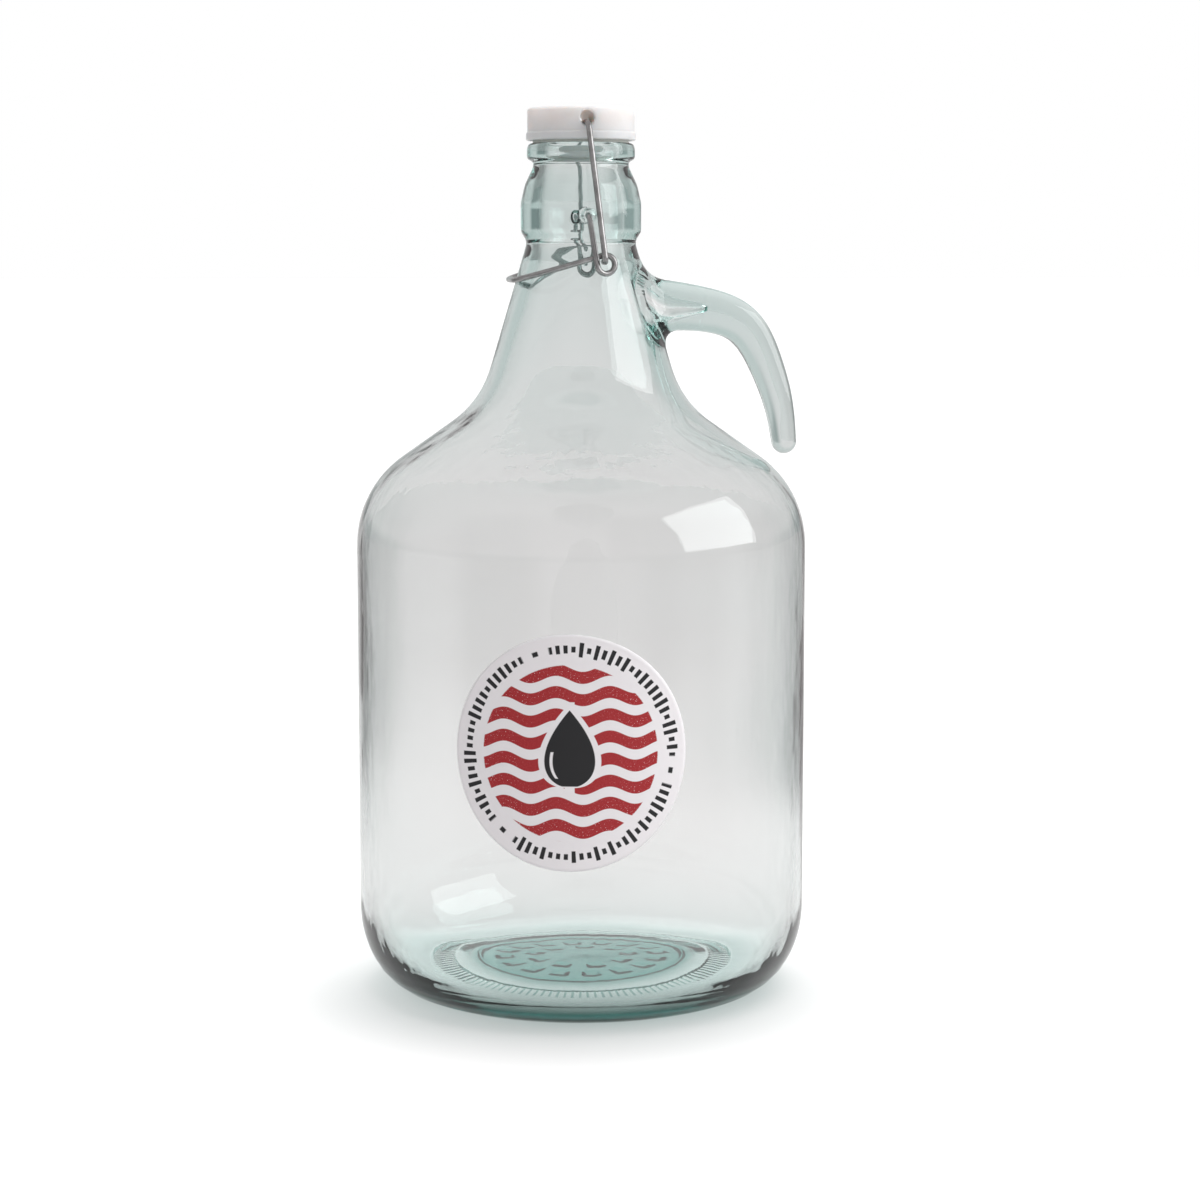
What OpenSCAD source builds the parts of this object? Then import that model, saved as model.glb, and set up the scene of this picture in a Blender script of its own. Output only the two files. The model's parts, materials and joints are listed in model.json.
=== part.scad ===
// Large glass water jug, about five litres, with a moulded hook handle on the
// shoulder and a swing-top closure. Millimetres. The base stands on z = 0 and
// the jug's axis is the z axis. The handle points to +X and the closure turns
// on pivots at -Y and +Y, so its lever lies against the neck on the -X side.

/* [Body] */
// Outside diameter of the straight wall
body_d = 180; // [160:1:200]
// Diameter of the ring the jug stands on
foot_d = 132; // [110:1:150]
// Height over which the heel curves from the foot out to the wall
heel_h = 33; // [20:1:45]
// Wall thickness of the body
wall = 3; // [2:0.5:5]
// Wall thickness of the neck cone
neck_wall = 4; // [3:0.5:6]
// Thickness of the floor over the foot ring
floor_t = 6; // [4:0.5:12]
// Height the middle of the floor is pushed up from below
punt_h = 3; // [0:0.5:12]
// Diameter of the pushed-up disc
punt_d = 92; // [60:1:110]
// Width of the flat ring under the foot
foot_w = 6; // [3:0.5:12]

/* [Shoulder and cone] */
// Height where the wall and the shoulder slope would meet if left sharp
shoulder_z = 201.6; // [180:0.1:215]
// Rounding radius between wall and shoulder
shoulder_r = 42.6; // [20:0.1:60]
// Diameter where the shoulder slope and the neck cone would meet
cone_d = 80.4; // [70:0.1:100]
// Height where the shoulder slope and the neck cone would meet
cone_z = 236.6; // [225:0.1:245]
// Rounding radius between shoulder and cone
cone_r = 40; // [15:1:50]

/* [Neck finish] */
// Diameter of the waist between cone and collar
waist_d = 42.8; // [38:0.1:46]
// Height of that waist
waist_z = 299.8; // [290:0.1:302]
// Diameter of the collar that carries the closure pivots
collar_d = 47.8; // [44:0.1:52]
// Height of the collar's lower edge
collar_z = 303.6; // [300:0.1:308]
// Height of the collar's straight band
collar_h = 11.4; // [8:0.1:16]
// Diameter where the collar starts to close in to the throat
collar_top_d = 44.6; // [42:0.1:48]
// Drop of that place below the throat's narrowest place
collar_top_drop = 7.2; // [4:0.1:12]
// Diameter of the throat under the lip
throat_d = 37.8; // [34:0.1:42]
// Height of the throat's straight band
throat_h = 1.8; // [0.5:0.1:4]
// Outside diameter of the lip
lip_d = 42.8; // [38:0.1:48]
// Height of the lip above the throat
lip_h = 7.4; // [5:0.1:10]
// Height of the glass mouth above the ground
mouth_z = 338.4; // [330:0.1:345]
// Bore at the mouth
bore_d = 29; // [24:0.5:32]
// Bore behind the collar
collar_bore_d = 33.6; // [28:0.2:38]

/* [Handle] */
// Height of the bar where it leaves the neck
bar_z = 274.3; // [265:0.1:285]
// Diameter of the bar near the neck
bar_d = 19.4; // [14:0.2:24]
// Diameter of the rounded tip
tip_d = 9.8; // [7:0.2:14]
// Distance from the jug's axis to the middle of the tip
tip_x = 82.4; // [70:0.2:84]
// Height of the middle of the tip
tip_z = 219.8; // [212:0.2:235]
// Reach of the hollow spike inside the handle root
spike_x = 52; // [35:1:60]
// Diameter of that spike where it leaves the bore
spike_d = 16; // [8:0.5:20]

/* [Closure] */
// Wire diameter
wire_d = 2.3; // [1.6:0.1:3.2]
// Height of the lever's pivots
pivot_z = 309.9; // [306:0.1:313]
// Depth of the pivot dimples in the collar
dimple_depth = 2.4; // [1.5:0.1:4]
// Diameter of the pivot dimples
dimple_d = 5.8; // [3:0.1:8]
// Distance of the lever's eye behind the pivots
eye_x = 6.4; // [4:0.1:9]
// Drop of the lever's eye below the pivots
eye_drop = 19; // [14:0.1:24]
// Bend radius of the eye at the wire's middle
eye_r = 3.6; // [2.8:0.1:5]
// Distance from the jug's middle plane to the lever's arms
arm_y = 26.4; // [25:0.1:30]
// Distance of the lever's thumb bar from the axis
thumb_x = 27.9; // [26:0.1:36]
// Drop of the thumb bar below the pivots
thumb_drop = 25.1; // [18:0.1:32]
// Bend radius of the thumb loop's corners
thumb_r = 18; // [8:1:24]
// Distance the bail's hook sits above the middle of the eye
hook_up = 1; // [0:0.05:1.3]
// Distance the bail's hook sits in front of the middle of the eye
hook_front = 0.6; // [0:0.05:1.3]
// Bend radius of the bail's hooks
hook_r = 1.6; // [1.2:0.1:3]
// Bend radius of the bail's upper corners
bail_r = 3; // [1.2:0.1:6]
// Gap between wires that pass one another
wire_gap = 0.35; // [0.2:0.05:1]

/* [Stopper] */
// Diameter of the stopper's body
cap_d = 42.4; // [38:0.1:48]
// Diameter of the flange round its lower edge
flange_d = 43.4; // [40:0.1:50]
// Height of the flange
flange_h = 2.8; // [1:0.1:5]
// Height of the stopper above the flange's lower face
cap_h = 13.3; // [10:0.1:20]
// Gap between the flange and the glass mouth
cap_gap = 1; // [0.7:0.1:2]
// Diameter of the cross hole for the bail
hole_d = 5.8; // [4:0.1:8]
// Height of that hole above the flange's lower face
hole_up = 8.2; // [6:0.1:10]
// Depth of the bevel at the hole's ends
hole_rim = 0.7; // [0.2:0.1:1.2]
// Diameter of the boss that centres the stopper in the mouth
boss_d = 18; // [12:0.5:22]
// Depth the boss hangs below the glass mouth
boss_drop = 3.4; // [1:0.1:6]
// Outside diameter of the sealing gasket
gasket_d = 38; // [30:0.5:40]
// Thickness of the sealing gasket
gasket_t = 3; // [2:0.1:5]

/* [Label] */
// Diameter of the round label
label_d = 90; // [60:1:110]
// Height of its centre
label_z = 109.4; // [80:0.1:130]
// Turn of its centre round the jug from straight in front
label_turn = 9.8; // [0:0.1:20]
// Thickness of the label
label_t = 0.14; // [0.08:0.02:0.3]

/* [Hidden] */

big_fn = 128;              // segments of the large round shapes
small_fn = 40;             // segments of bars and rods
wire_fn = 20;              // segments round a wire
step = 15;                 // largest turn between two points of an arc
eps = 0.05;                // clearance of parts that touch
side = 2;                  // how far a cutter runs past a face
swell = 0.3;               // how far each rounded joint of the handle stands proud
fine_r = 0.6;              // rounding of sharp edges
edge_r = 1.2;              // rounding of the lip's and stopper's edges
turn_r = 4;                // rounding of gentle turns in the glass
wide_r = 8;                // rounding of long sweeps in the glass
wire_r = wire_d / 2;
heel_r = (body_d - foot_d) / 2;

glass_c = [0.74, 0.86, 0.83, 0.45];
steel_c = [0.72, 0.72, 0.74];
cap_c = [0.95, 0.95, 0.94];
rubber_c = [0.82, 0.82, 0.78];
paper_c = [0.97, 0.97, 0.96];

// Points on the arc that rounds corner c, between points a and b, by radius r
function corner(a, c, b, r) = let (
    u = (a - c) / norm(a - c),
    v = (b - c) / norm(b - c),
    half = acos(u * v) / 2,
    m = c + (u + v) / norm(u + v) * r / sin(half),
    s = c + u * r / tan(half) - m,
    e = c + v * r / tan(half) - m,
    from = atan2(s.y, s.x),
    turn = (atan2(e.y, e.x) - from + 540) % 360 - 180,
    n = ceil(abs(turn) / step))
    [for (i = [0 : n]) m + r * [cos(from + turn * i / n), sin(from + turn * i / n)]];

// Closed outline through [radius, height, rounding] corners
function rounded(p) = let (n = len(p), q = [for (c = p) [c[0], c[1]]])
    [for (i = [0 : n - 1])
        each p[i][2] == 0 ? [q[i]]
            : corner(q[(i + n - 1) % n], q[i], q[(i + 1) % n], p[i][2])];

// Quarter ellipse from [r, 0] out to [r + a, b]
function heel(r, a, b, z) =
    [for (t = [step : step : 90 - step]) [r + a * sin(t), z + b * (1 - cos(t)), 0]];

// Height of the throat's narrowest place
throat_z = mouth_z - lip_h - throat_h;

// Outside of the glass: [radius, height, rounding]
outside = rounded(concat(
    [[0, punt_h, 0],
     [punt_d / 2, punt_h, edge_r],
     [foot_d / 2 - foot_w, 0, turn_r],
     [foot_d / 2, 0, 0]],
    heel(foot_d / 2, heel_r, heel_h, 0),
    [[body_d / 2, heel_h, 0],
     [body_d / 2, shoulder_z, shoulder_r],
     [cone_d / 2, cone_z, cone_r],
     [waist_d / 2, waist_z, turn_r],
     [collar_d / 2, collar_z, edge_r],
     [collar_d / 2, collar_z + collar_h, turn_r],
     [collar_top_d / 2, throat_z - collar_top_drop, wide_r],
     [throat_d / 2, throat_z, edge_r],
     [throat_d / 2, mouth_z - lip_h, fine_r],
     [lip_d / 2, mouth_z - lip_h + edge_r, edge_r],
     [lip_d / 2, mouth_z - 2 * edge_r, edge_r],
     [lip_d / 2 - fine_r, mouth_z, edge_r],
     [0, mouth_z, 0]]));

// Inside of the glass
inside_z = punt_h + floor_t - 1;
mouth_bevel = 1.5;
inside = rounded(concat(
    [[0, inside_z, 0],
     [punt_d / 2 + turn_r, inside_z, turn_r],
     [foot_d / 2 - mouth_bevel, floor_t, wide_r]],
    heel(foot_d / 2 - mouth_bevel / 2, heel_r + mouth_bevel / 2 - wall,
         heel_h - floor_t + wall, floor_t),
    [[body_d / 2 - wall, heel_h + wall, 0],
     [body_d / 2 - wall, shoulder_z - wall / 2, shoulder_r - wall],
     [cone_d / 2 - neck_wall, cone_z - neck_wall / 2, cone_r + neck_wall],
     [waist_d / 2 - neck_wall, waist_z - wide_r, wide_r],
     [collar_bore_d / 2, collar_z, 0],
     [collar_bore_d / 2, collar_z + collar_h - mouth_bevel, turn_r],
     [bore_d / 2, throat_z, turn_r],
     [bore_d / 2, mouth_z - mouth_bevel, 0],
     [bore_d / 2 + mouth_bevel, mouth_z, 0],
     [bore_d / 2 + mouth_bevel, mouth_z + side, 0],
     [0, mouth_z + side, 0]]));

// Stations of the handle: [distance from the axis, height, bar radius]
bar_r = bar_d / 2;
handle = [
    [20, bar_z + 0.6, bar_r + 4.4],
    [36, bar_z + 0.2, bar_r + 0.4],
    [48.6, bar_z - 1.2, bar_r - 0.8],
    [58.4, bar_z - 3.4, bar_r - 1.2],
    [65.6, bar_z - 7.6, bar_r - 1.8],
    [71, bar_z - 14.2, bar_r - 2.4],
    [75.4, bar_z - 24, bar_r - 3],
    [tip_x - 3, tip_z + 19.6, tip_d / 2 + 1.2],
    [tip_x - 0.9, tip_z + 9.6, tip_d / 2 + 0.4],
    [tip_x, tip_z, tip_d / 2]];

// Rod between two points with a radius at each end
module rod(a, b, ra, rb) {
    d = b - a;
    translate(a)
        rotate([0, acos(d.z / norm(d)), atan2(d.y, d.x)])
            cylinder(h = norm(d), r1 = ra, r2 = rb, $fn = small_fn);
}

// Arc of wire from direction t0 to t1 (degrees, x toward z), at height y
module wire_arc(c, y, r, t0, t1)
    translate([c[0], y, c[1]])
        rotate([90, 0, 0])
            rotate([0, 0, min(t0, t1)])
                rotate_extrude(angle = abs(t1 - t0), $fn = big_fn)
                    translate([r, 0])
                        circle(r = wire_r, $fn = wire_fn);

// Wire along points, each corner bent to the given radius
module wire(p, bend) {
    n = len(p);
    cut = [for (i = [0 : n - 1]) (i == 0 || i == n - 1) ? 0 : let (
        u = (p[i - 1] - p[i]) / norm(p[i - 1] - p[i]),
        v = (p[i + 1] - p[i]) / norm(p[i + 1] - p[i]))
        bend[i] / tan(acos(u * v) / 2)];
    for (i = [0 : n - 2]) {
        d = (p[i + 1] - p[i]) / norm(p[i + 1] - p[i]);
        straight(p[i] + d * cut[i], p[i + 1] - d * cut[i + 1]);
        if (i > 0) knuckle(p[i] + d * cut[i]);
        if (i < n - 2) knuckle(p[i + 1] - d * cut[i + 1]);
    }
    for (i = [1 : n - 2]) {
        u = (p[i - 1] - p[i]) / norm(p[i - 1] - p[i]);
        v = (p[i + 1] - p[i]) / norm(p[i + 1] - p[i]);
        elbow(p[i], u, v, bend[i]);
    }
}

// Straight length of wire between two points
module straight(a, b) {
    d = b - a;
    translate(a)
        rotate([0, acos(d.z / norm(d)), atan2(d.y, d.x)])
            cylinder(h = norm(d), r = wire_r, $fn = wire_fn);
}

// Slight swelling that joins two lengths of wire
module knuckle(p) translate(p) sphere(r = wire_r + eps, $fn = wire_fn);

// Bend at corner c between directions u and v
module elbow(c, u, v, r) {
    half = acos(u * v) / 2;
    m = c + (u + v) / norm(u + v) * r / sin(half);
    out = cross(u, v) / norm(cross(u, v));
    tilt = acos(out.z);
    spin = abs(sin(tilt)) < eps ? 0 : atan2(out.y, out.x);
    // the arc's start direction, seen in the plane of the bend
    a = c + u * r / tan(half) - m;
    lx = a.x * cos(spin) * cos(tilt) + a.y * sin(spin) * cos(tilt) - a.z * sin(tilt);
    ly = -a.x * sin(spin) + a.y * cos(spin);
    translate(m)
        rotate([0, tilt, spin])
            rotate([0, 0, atan2(ly, lx) - (180 - 2 * half)])
                rotate_extrude(angle = 180 - 2 * half, $fn = big_fn)
                    translate([r, 0])
                        circle(r = wire_r, $fn = wire_fn);
}

module glass_jug() color(glass_c)
    difference() {
        union() {
            rotate_extrude($fn = big_fn) polygon(outside);
            for (i = [0 : len(handle) - 2]) {
                a = handle[i];
                b = handle[i + 1];
                rod([a[0], 0, a[1]], [b[0], 0, b[1]], a[2], b[2]);
                translate([b[0], 0, b[1]]) sphere(r = b[2] + swell, $fn = small_fn);
            }
        }
        rotate_extrude($fn = big_fn) polygon(inside);
        rod([collar_bore_d / 2, 0, bar_z - 1], [spike_x, 0, bar_z - 1], spike_d / 2, fine_r);
        for (s = [-1, 1])
            translate([0, s * collar_d / 2, pivot_z])
                rotate([s * 90, 0, 0]) {
                    cylinder(h = dimple_depth, r = wire_r + eps, $fn = small_fn);
                    translate([0, 0, -side])
                        cylinder(h = dimple_depth / 2 + side, r1 = dimple_d / 2 + side / 2,
                                 r2 = wire_r + eps / 2, $fn = small_fn);
                }
    }

module round_label() color(paper_c)
    rotate([0, 0, -label_turn])
        intersection() {
            difference() {
                translate([0, 0, label_z - label_d / 2])
                    cylinder(h = label_d, r = body_d / 2 + label_t, $fn = big_fn);
                translate([0, 0, label_z - label_d / 2 - side])
                    cylinder(h = label_d + 2 * side, r = body_d / 2, $fn = big_fn);
            }
            translate([0, 0, label_z])
                rotate([90, 0, 0])
                    cylinder(h = body_d / 2 + side, d = label_d, $fn = big_fn);
        }

// Lever: pivot pins, a leg and a full eye on each side, and the thumb loop
eye = [eye_x, pivot_z - eye_drop];
reach = norm([eye_x, eye_drop]);
leg_tilt = atan2(eye_x, eye_drop) - asin(eye_r / reach);
leg_y = arm_y + wire_d + wire_gap / 2;
pin_y = collar_d / 2 - dimple_depth + wire_gap;
leg_foot = [eye[0] - eye_r * cos(leg_tilt), eye[1] - eye_r * sin(leg_tilt)];
slope = atan2(pivot_z - thumb_drop - eye[1] - eye_r, -thumb_x - eye[0]) + 180;
arm_foot = [eye[0] - eye_r * sin(slope), eye[1] + eye_r * cos(slope)];
half_step = (leg_y - arm_y) / 2;

module lever_wire() color(steel_c) {
    for (s = [-1, 1]) {
        wire([[0, s * pin_y, pivot_z], [0, s * (arm_y - wire_gap / 2), pivot_z],
              [leg_foot[0], s * leg_y, leg_foot[1]]], [0, wire_d, 0]);
        knuckle([leg_foot[0], s * leg_y, leg_foot[1]]);
        translate([eye[0], s * (arm_y + half_step), eye[1]])
            rotate([0, 0, -s * atan2(half_step, eye_r)])
                wire_arc([0, 0], 0, norm([eye_r, half_step]), 180 + leg_tilt, 360);
        knuckle([eye[0] + eye_r, s * arm_y, eye[1]]);
        wire_arc(eye, s * arm_y, eye_r, 0, 90 + slope);
        knuckle([arm_foot[0], s * arm_y, arm_foot[1]]);
    }
    wire([[arm_foot[0], -arm_y, arm_foot[1]],
          [-thumb_x, -arm_y, pivot_z - thumb_drop],
          [-thumb_x, arm_y, pivot_z - thumb_drop],
          [arm_foot[0], arm_y, arm_foot[1]]], [0, thumb_r, thumb_r, 0]);
}

// Bail: one wire through the stopper, hooked into the lever's eyes
bail_y = leg_y + wire_d + wire_gap;
hook = [eye[0] - hook_front, eye[1] + hook_up];
top_z = mouth_z + cap_gap + hole_up - hole_d / 2 + wire_r + eps;
bail_lean = (bail_y - arm_y - wire_d - wire_gap) / (pivot_z - hook[1]);
top_y = bail_y - bail_lean * (top_z - hook[1]);

module bail_wire() color(steel_c)
    wire([[hook[0], -(arm_y - wire_r), hook[1]], [hook[0], -bail_y, hook[1]],
          [0, -top_y, top_z], [0, top_y, top_z],
          [hook[0], bail_y, hook[1]], [hook[0], arm_y - wire_r, hook[1]]],
         [0, hook_r, bail_r, bail_r, hook_r, 0]);

module stopper_cap() color(cap_c)
    difference() {
        translate([0, 0, mouth_z + cap_gap])
            rotate_extrude($fn = big_fn)
                polygon(rounded([
                    [0, -cap_gap - boss_drop, 0],
                    [boss_d / 2, -cap_gap - boss_drop, edge_r],
                    [boss_d / 2, gasket_t - cap_gap, 0],
                    [gasket_d / 2 + wire_gap, gasket_t - cap_gap, 0],
                    [gasket_d / 2 + wire_gap, 0, 0],
                    [flange_d / 2, 0, fine_r],
                    [flange_d / 2, flange_h, fine_r],
                    [cap_d / 2, flange_h + fine_r, 0],
                    [cap_d / 2, cap_h - fine_r, edge_r],
                    [0, cap_h, 0]]));
        translate([0, 0, mouth_z + cap_gap + hole_up]) {
            rotate([90, 0, 0])
                cylinder(h = flange_d + side, d = hole_d, center = true,
                         $fn = small_fn);
            for (s = [-1, 1])
                translate([0, s * (cap_d / 2 - hole_rim), 0])
                    rotate([-s * 90, 0, 0])
                        cylinder(h = hole_rim + side, d1 = hole_d,
                                 d2 = hole_d + 2 * (hole_rim + side), $fn = small_fn);
        }
    }

module sealing_gasket() color(rubber_c)
    translate([0, 0, mouth_z + eps])
        difference() {
            cylinder(h = gasket_t - 2 * eps, d = gasket_d, $fn = big_fn);
            translate([0, 0, -side])
                cylinder(h = gasket_t + 2 * side, d = boss_d + 2 * wire_gap, $fn = big_fn);
        }

glass_jug();
round_label();
lever_wire();
bail_wire();
stopper_cap();
sealing_gasket();
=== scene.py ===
"""Looks of a five litre glass jug with a swing-top closure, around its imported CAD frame."""

import json
import math

import bpy
import numpy as np
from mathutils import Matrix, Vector


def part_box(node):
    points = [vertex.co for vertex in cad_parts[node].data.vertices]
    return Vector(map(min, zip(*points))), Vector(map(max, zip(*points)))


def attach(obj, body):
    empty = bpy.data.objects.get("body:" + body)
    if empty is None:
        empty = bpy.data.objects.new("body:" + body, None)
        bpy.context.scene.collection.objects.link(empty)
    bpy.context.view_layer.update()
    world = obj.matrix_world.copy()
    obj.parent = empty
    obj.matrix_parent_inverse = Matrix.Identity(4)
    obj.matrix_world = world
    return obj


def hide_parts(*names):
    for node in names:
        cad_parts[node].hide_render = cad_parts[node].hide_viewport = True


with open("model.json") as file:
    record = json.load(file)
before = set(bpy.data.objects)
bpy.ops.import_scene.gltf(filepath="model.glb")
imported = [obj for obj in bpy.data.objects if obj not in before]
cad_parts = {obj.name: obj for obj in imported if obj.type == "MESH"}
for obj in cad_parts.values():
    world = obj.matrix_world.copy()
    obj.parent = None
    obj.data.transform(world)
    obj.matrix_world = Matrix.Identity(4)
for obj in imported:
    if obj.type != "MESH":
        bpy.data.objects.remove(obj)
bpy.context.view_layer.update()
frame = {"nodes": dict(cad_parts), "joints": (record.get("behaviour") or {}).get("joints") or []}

MM = 0.001
TAU = 2 * math.pi
HINGES = {j["name"]: j["pos_m"] for j in frame["joints"]}


# ---------------------------------------------------------------- camera, light, room

# the camera stands this far from the jug's axis, this high, and a little to the left of the front
CAMERA_AWAY, CAMERA_HEIGHT, CAMERA_TURN = 1.135, 0.2957, math.radians(-7)
CAMERA_AIM = (0.0075, -0.0009, 0.1563)
LENS, SENSOR = 85, 36
KEY_PLACE, KEY_AIM, KEY_SIZE, KEY_POWER = (1.22, -0.48, 0.76), (0, 0, 0.20), (1.25, 0.95), 9.8
TOP_STRENGTH, TOP_ANGLE, TOP_TILT = 2.4, math.radians(60), (math.radians(-12), math.radians(16), 0)


def rgba(r, g, b):
    return (r, g, b, 1.0)


# the room as the glass sees it: straight behind the jug, to its left and right, and above
BEHIND, BEHIND_MIRRORED = rgba(0.852, 0.752, 0.763), rgba(0.70, 0.74, 0.735)
SIDE_LEFT, SIDE_RIGHT = rgba(0.26, 0.275, 0.275), rgba(0.38, 0.39, 0.39)
ABOVE = rgba(0.67, 0.645, 0.645)
# how square to the X or Y axis a direction is where the dark corners end, and the bright walls start
CORNER_ENDS, WALL_STARTS = 0.86, 0.985


class Graph:
    """The node tree of a material or of the world, with short calls for its nodes."""

    def __init__(self, owner, output):
        self.owner = owner
        owner.use_nodes = True
        self.tree = owner.node_tree
        self.tree.nodes.clear()
        self.out = self.node(output)

    def node(self, kind, inputs=None, **settings):
        n = self.tree.nodes.new("ShaderNode" + kind)
        for key, value in settings.items():
            setattr(n, key, value)
        for key, value in (inputs or {}).items():
            self.put(n.inputs[key], value)
        return n

    def put(self, socket, value):
        if isinstance(value, bpy.types.NodeSocket):
            self.tree.links.new(value, socket)
        else:
            socket.default_value = value

    def math(self, op, a, b=0.0, c=0.0):
        return self.node("Math", {0: a, 1: b, 2: c}, operation=op).outputs[0]

    def times(self, a, b):
        return self.math("MULTIPLY", a, b)

    def plus(self, a, b):
        return self.math("ADD", a, b)

    def minus(self, a, b):
        return self.math("SUBTRACT", a, b)

    def off(self, value, middle):
        """How far the value is from the middle, either way."""
        return self.math("ABSOLUTE", self.minus(value, middle))

    def length(self, x, y):
        return self.math("SQRT", self.plus(self.times(x, x), self.times(y, y)))

    def farther(self, x, y):
        """The larger of |x| and |y|."""
        return self.math("MAXIMUM", self.math("ABSOLUTE", x), self.math("ABSOLUTE", y))

    def ramp(self, value, lo, hi, a=0.0, b=1.0):
        """Smoothly from a at lo to b at hi."""
        keys = {0: value, 1: lo, 2: hi, 3: a, 4: b}
        return self.node("MapRange", keys, interpolation_type="SMOOTHSTEP").outputs[0]

    def mix(self, factor, a, b):
        keys = {0: factor, 6: a, 7: b}
        return self.node("Mix", keys, data_type="RGBA").outputs[2]

    def shaders(self, factor, a, b):
        keys = {0: factor, 1: a.outputs[0], 2: b.outputs[0]}
        return self.node("MixShader", keys)

    def split(self, vector):
        return self.node("SeparateXYZ", {0: vector}).outputs

    def ray(self, kind):
        return self.node("LightPath").outputs["Is %s Ray" % kind]

    def noise(self, where, scale, detail=2.0, rough=0.5):
        keys = {"Vector": where, "Scale": scale, "Detail": detail, "Roughness": rough}
        return self.node("TexNoise", keys).outputs[0]

    def place(self, scale=(1, 1, 1), which="Object"):
        where = self.node("TexCoord").outputs[which]
        return self.node("Mapping", {"Vector": where, "Scale": scale}).outputs[0]

    def bump(self, height, strength, distance):
        keys = {"Height": height, "Strength": strength, "Distance": distance}
        return self.node("Bump", keys).outputs[0]

    def finish(self, shader, volume=None):
        self.put(self.out.inputs["Surface"], shader.outputs[0])
        if volume is not None:
            self.put(self.out.inputs["Volume"], volume.outputs[0])
        return self.owner


def material_graph(name):
    return Graph(bpy.data.materials.new(name), "OutputMaterial")


def link(ob):
    bpy.context.collection.objects.link(ob)
    return ob


def look_at(ob, place, target):
    ob.location = place
    ob.rotation_mode = "QUATERNION"
    ob.rotation_quaternion = (Vector(target) - ob.location).to_track_quat("-Z", "Y")


def make_camera():
    cam = link(bpy.data.objects.new("camera", bpy.data.cameras.new("camera")))
    cam.data.lens, cam.data.sensor_width = LENS, SENSOR
    place = (math.sin(CAMERA_TURN) * CAMERA_AWAY, -math.cos(CAMERA_TURN) * CAMERA_AWAY,
             CAMERA_HEIGHT)
    look_at(cam, place, CAMERA_AIM)
    bpy.context.scene.camera = cam


def make_light():
    """A large window-like softbox on the right and even, soft light from above."""
    key = bpy.data.lights.new("key", "AREA")
    key.shape = "RECTANGLE"
    key.size, key.size_y = KEY_SIZE
    key.energy = KEY_POWER
    look_at(link(bpy.data.objects.new("key", key)), KEY_PLACE, KEY_AIM)
    top = bpy.data.lights.new("top", "SUN")
    top.energy, top.angle = TOP_STRENGTH, TOP_ANGLE
    ob = link(bpy.data.objects.new("top", top))
    ob.rotation_euler = TOP_TILT
    ob.visible_glossy = ob.visible_transmission = False


def make_room():
    """White when seen directly. Through the glass: four bright walls with dark corners."""
    world = bpy.data.worlds.new("studio")
    bpy.context.scene.world = world
    g = Graph(world, "OutputWorld")
    x, y, z = g.split(g.node("TexCoord").outputs["Generated"])
    through = g.ray("Transmission")
    square = g.node("Mix", {0: through, 2: y, 3: g.farther(x, y)}).outputs[0]
    behind = g.ramp(square, CORNER_ENDS, WALL_STARTS)
    side = g.mix(g.ramp(x, -0.3, 0.5), SIDE_LEFT, SIDE_RIGHT)
    side = g.mix(g.ramp(z, 0.03, 0.12), side, ABOVE)
    back = g.mix(through, BEHIND_MIRRORED, BEHIND)
    room = g.node("Background", {0: g.mix(behind, side, back)})
    seen = g.node("Background", {0: rgba(1, 1, 1)})
    g.finish(g.shaders(g.ray("Camera"), room, seen))


# ---------------------------------------------------------------- materials

# what the glass takes from light passing through it, and what it leaves to a shadow
GLASS_COLOUR, GLASS_DENSITY, GLASS_SHADOW = rgba(0.28, 0.71, 0.65), 34.0, rgba(0.968, 0.932, 0.937)
# the extra green of the thick disc in the floor, with painted shade of the dark floor under it, and
# the painted near-black green shade of the rim
DISC_GREEN_AND_SHADE, RIM_SHADE_COLOUR = rgba(0.055, 0.27, 0.235), rgba(0.001, 0.030, 0.025)


def glass_material():
    """Clear soda glass, greener in its thick floor, with painted shade on the floor's disc, on the
    rim and between the ridges under the heel, and the slow waves of a blown wall.
    """
    g = material_graph("green_tinted_glass")
    slow = g.noise(g.place((1, 1, 0.35)), 16.0, 2.0, 0.4)
    fine = g.noise(g.place((1, 1, 0.5)), 75.0, 2.0, 0.5)
    waves = g.plus(slow, g.times(fine, 0.12))
    x, y, z = g.split(g.place())
    out = g.length(x, y)
    low = g.ramp(z, 0.004, 0.006, 1.0, 0.0)
    # the disc in the floor: greener where the glass is thick, plus a painted shade of the dark floor
    # under it
    disc = g.times(low, g.ramp(out, 0.043, 0.052, 1.0, 0.0))
    # painted shade on the rim: near black, and seen only by the camera
    rim = g.times(g.ramp(z, 0.006, 0.023, 1.0, 0.0), g.ramp(out, 0.061, 0.066))
    # painted shade between the ridges of the ring under the heel
    ridge = g.math("FRACT", g.times(g.math("ARCTAN2", y, x), COLUMNS / 2 / TAU))
    ring = g.times(g.ramp(out, 0.052, 0.053), g.ramp(out, 0.059, 0.060, 0.8, 0.0))
    ridge_shade = g.times(ring, g.times(low, g.ramp(g.off(ridge, 0.5), 0.12, 0.22, 1.0, 0.0)))
    # the floor's colour: the disc's green with its painted shade, and the painted shade between the
    # ridges
    floor = g.mix(g.math("MAXIMUM", disc, ridge_shade), rgba(1, 1, 1), DISC_GREEN_AND_SHADE)
    # only the camera sees the painted shade of the rim
    body = g.node("BsdfPrincipled", {
        "Base Color": g.mix(g.times(rim, g.ray("Camera")), floor, RIM_SHADE_COLOUR),
        "Roughness": 0.004, "IOR": 1.51, "Transmission Weight": 1.0,
        "Normal": g.bump(waves, 0.25, 0.004)})
    shade = g.node("BsdfTransparent", {0: GLASS_SHADOW})
    tint = g.node("VolumeAbsorption", {"Color": GLASS_COLOUR, "Density": GLASS_DENSITY})
    return g.finish(g.shaders(g.ray("Shadow"), body, shade), tint)


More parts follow.
